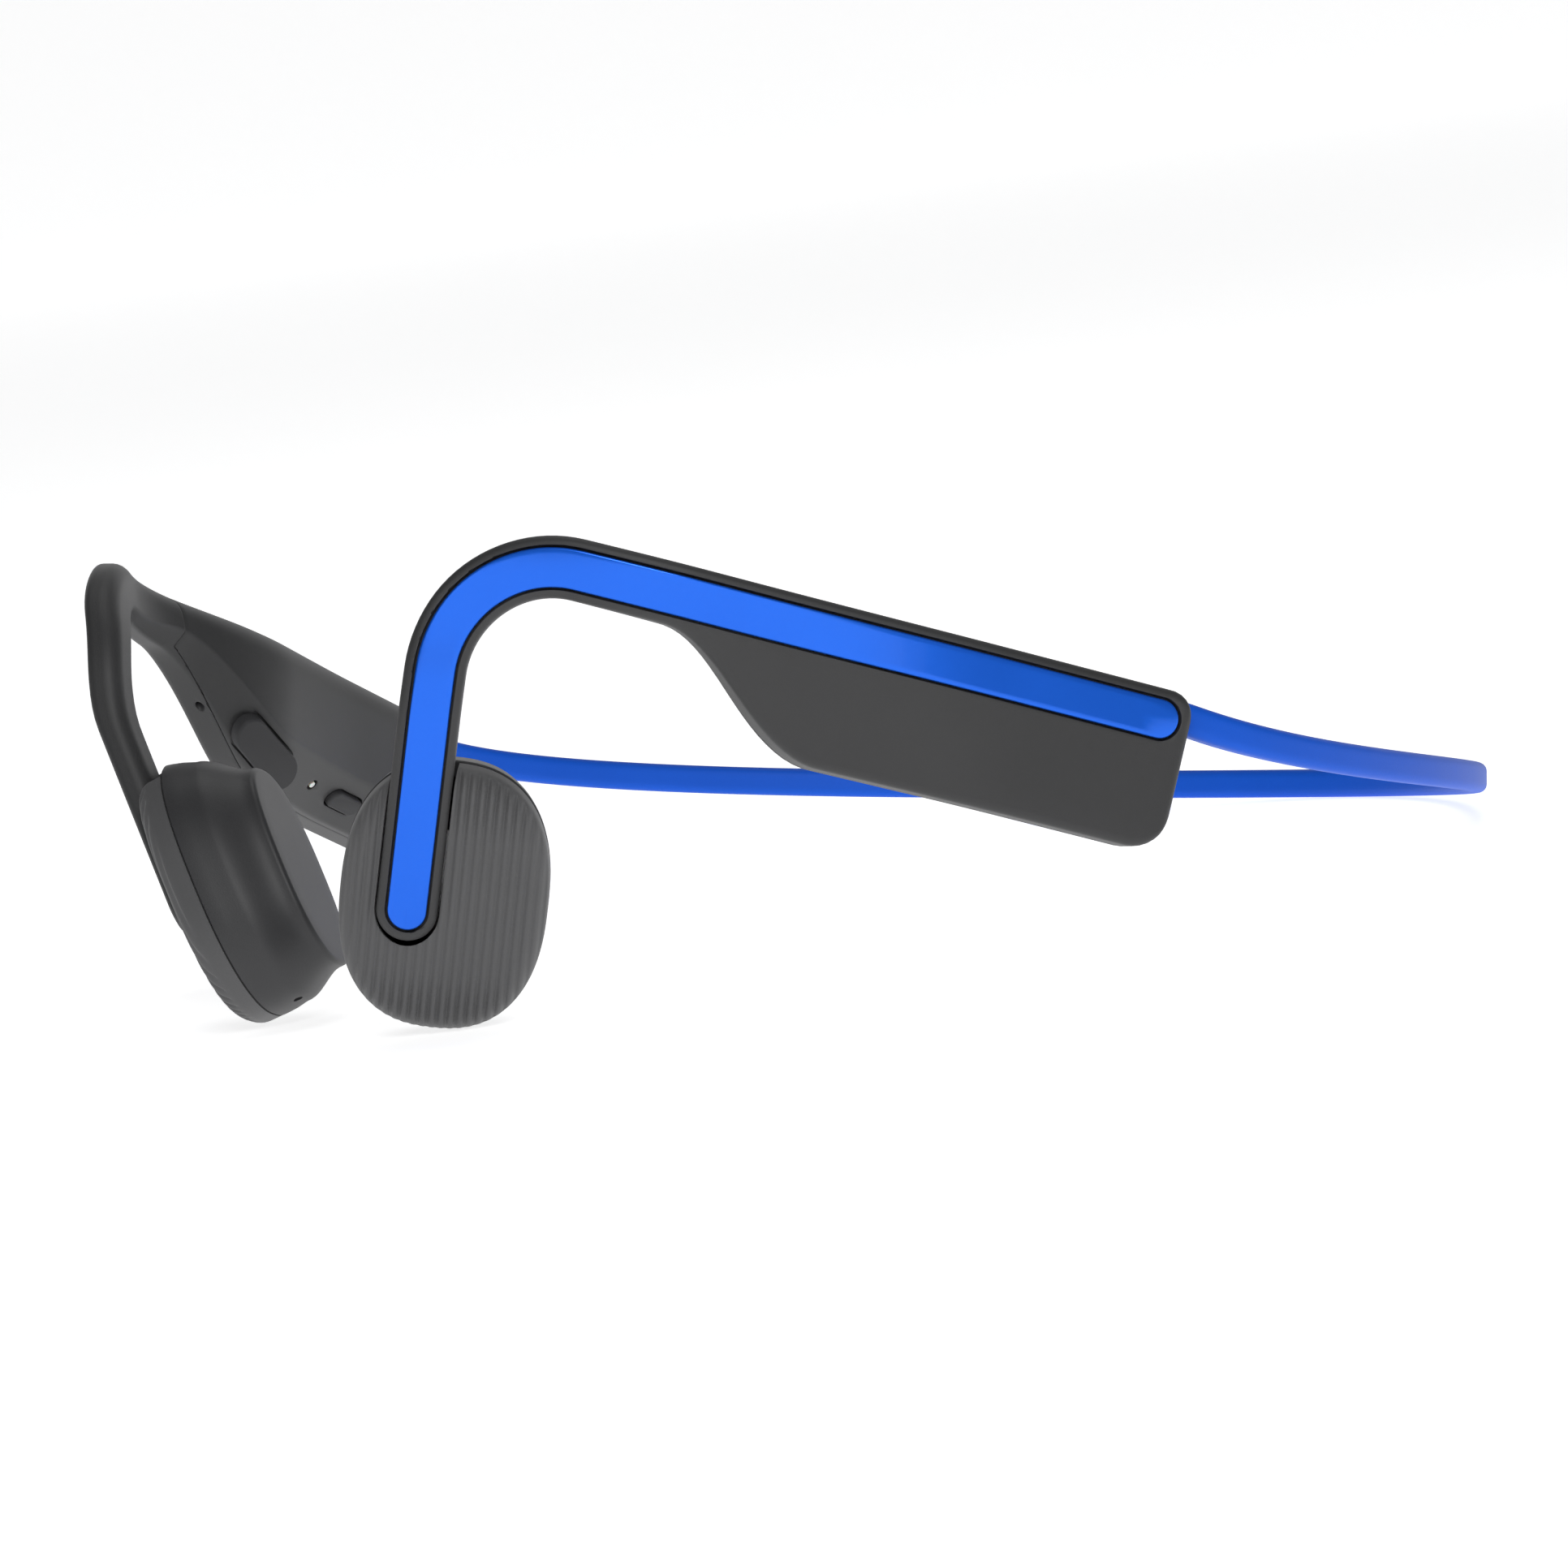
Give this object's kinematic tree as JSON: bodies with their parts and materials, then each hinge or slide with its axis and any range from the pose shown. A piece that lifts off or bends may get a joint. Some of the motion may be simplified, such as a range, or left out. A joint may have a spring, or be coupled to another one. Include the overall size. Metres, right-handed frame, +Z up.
{
  "type": "bone conduction headphones",
  "caption": "Open-ear bone conduction headphones with a thin flexible neckband, over-ear hooks with an inlaid trim strip, and ribbed oval pods that rest on the cheekbones.",
  "frame": {"origin": "centre of the bounding box's footprint, on the table that the pods and the back of the neckband rest on", "axes": "+Z up from the table, +X towards the wearer's left, +Y from the face towards the back of the head"},
  "size_m": [0.1262, 0.1378, 0.044],
  "materials": {
    "shell": "soft touch",
    "pod": "satin moulded",
    "gloss_blue": "high gloss",
    "satin_blue": "satin silicone",
    "titanium": "drawn wire",
    "steel": "stamped",
    "magnet": "nickel plated",
    "copper": "enamelled copper",
    "board": "solder mask",
    "battery": "foil pouch",
    "rubber": "matte",
    "diffuser": "frosted",
    "cable": "matte"
  },
  "bodies": {
    "right_unit": {"right_outer_shell": "shell", "right_inner_shell": "shell", "right_trim_strip": "gloss_blue", "right_hook_wire": "titanium", "right_pod_cap": "pod", "right_pod_shell": "pod", "right_transducer_yoke": "steel", "right_transducer_magnet": "magnet", "right_voice_coil": "copper", "right_spring_plate": "steel", "right_pod_microphone": "steel", "right_main_board": "board", "right_shield_can": "steel", "right_charging_port": "steel", "right_volume_up_switch": "steel", "right_volume_down_switch": "steel", "right_light_pipe": "diffuser", "right_microphone": "steel", "neckband_sleeve": "satin_blue", "neckband_wire": "titanium", "neckband_cable": "cable"},
    "left_unit": {"left_outer_shell": "shell", "left_inner_shell": "shell", "left_trim_strip": "gloss_blue", "left_hook_wire": "titanium", "left_pod_shell": "pod", "left_transducer_yoke": "steel", "left_transducer_magnet": "magnet", "left_voice_coil": "copper", "left_spring_plate": "steel", "left_dome_switch": "board", "left_battery": "battery", "left_charge_board": "board"},
    "multifunction_button": {"left_multifunction_button": "pod"},
    "volume_up_key": {"right_volume_up": "rubber"},
    "volume_down_key": {"right_volume_down": "rubber"},
    "port_cover": {"right_port_cover": "rubber"}
  },
  "joints": [
    {"name": "band_flex", "type": "hinge", "parent": "right_unit", "child": "left_unit", "pos_m": [0, 0.06769, 0.00152], "axis": [0, 0.1735, 0.9848], "range_deg": [-3, 22], "stiffness_Nm_per_rad": 0.3, "deforming": ["neckband_sleeve", "neckband_wire", "neckband_cable"]},
    {"name": "multifunction_press", "type": "slide", "parent": "left_unit", "child": "multifunction_button", "axis": [-0.695, 0.647, 0.3135], "range_m": [0, 0.0003], "stiffness_N_per_m": 4000, "springref_m": -0.00005},
    {"name": "volume_up_press", "type": "slide", "parent": "right_unit", "child": "volume_up_key", "axis": [-0.6867, 0.012, 0.7269], "range_m": [0, 0.0003], "stiffness_N_per_m": 4000, "springref_m": -0.00005},
    {"name": "volume_down_press", "type": "slide", "parent": "right_unit", "child": "volume_down_key", "axis": [-0.6855, 0.0131, 0.728], "range_m": [0, 0.0003], "stiffness_N_per_m": 4000, "springref_m": -0.00005},
    {"name": "port_cover_open", "type": "hinge", "parent": "right_unit", "child": "port_cover", "pos_m": [-0.03909, -0.04135, 0.02605], "axis": [-0.4208, -0.7354, -0.5311], "range_deg": [0, 90], "stiffness_Nm_per_rad": 0.0002}
  ]
}
